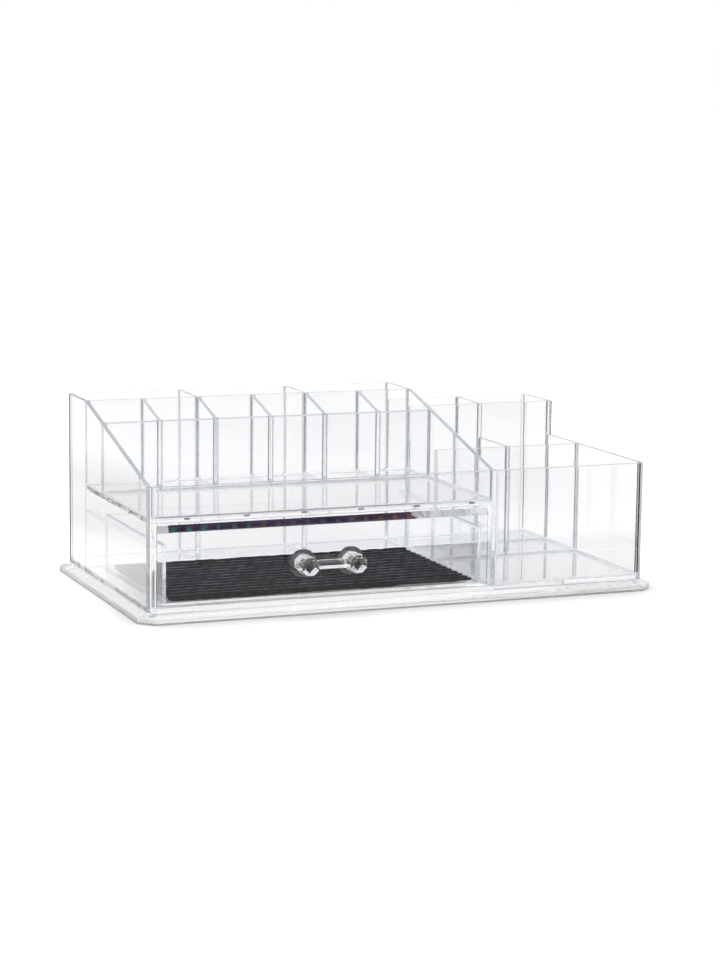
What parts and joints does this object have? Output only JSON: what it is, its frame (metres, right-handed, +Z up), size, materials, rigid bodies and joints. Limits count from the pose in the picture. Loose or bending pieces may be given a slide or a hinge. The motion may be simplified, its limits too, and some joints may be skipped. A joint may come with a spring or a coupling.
{
  "type": "vanity organizer",
  "caption": "Clear tabletop vanity organizer of bonded panels on a bevelled base, with stepped open cells, a sloping tray and a sliding drawer lined with a black mesh mat.",
  "frame": {"origin": "middle of the base's underside, where the organizer rests", "axes": "+Z up, +X to the right seen from the front, the drawer opens towards -Y"},
  "size_m": [0.376, 0.217, 0.1277],
  "materials": {
    "clear_panel": "clear polished plastic sheet",
    "clear_base": "clear polished thick plastic with a bevelled edge",
    "clear_handle": "clear faceted plastic",
    "mat_mesh": "matt black foam mesh"
  },
  "bodies": {
    "case": {"back_divider_1": "clear_panel", "back_divider_2": "clear_panel", "back_panel": "clear_panel", "base_plate": "clear_base", "centre_side_panel": "clear_panel", "drawer_rail_left": "clear_panel", "drawer_rail_right": "clear_panel", "floor_panel": "clear_panel", "left_partition": "clear_panel", "left_side_panel": "clear_panel", "right_back_divider_1": "clear_panel", "right_front_panel": "clear_panel", "right_mid_panel": "clear_panel", "right_middle_divider_1": "clear_panel", "right_partition": "clear_panel", "right_side_panel": "clear_panel", "tray_divider_1": "clear_panel", "tray_divider_2": "clear_panel", "tray_divider_3": "clear_panel", "tray_divider_4": "clear_panel", "tray_divider_5": "clear_panel", "tray_floor": "clear_panel", "tray_front_panel": "clear_panel", "tray_mid_panel": "clear_panel"},
    "drawer": {"drawer_front": "clear_panel", "drawer_floor": "clear_panel", "drawer_left_side": "clear_panel", "drawer_right_side": "clear_panel", "drawer_back": "clear_panel", "handle_post_left": "clear_handle", "handle_post_right": "clear_handle", "handle_bar": "clear_handle", "drawer_mat": "mat_mesh"}
  },
  "joints": [
    {"name": "drawer_slide", "type": "slide", "parent": "case", "child": "drawer", "axis": [0, -1, 0], "range_m": [0, 0.09]}
  ]
}
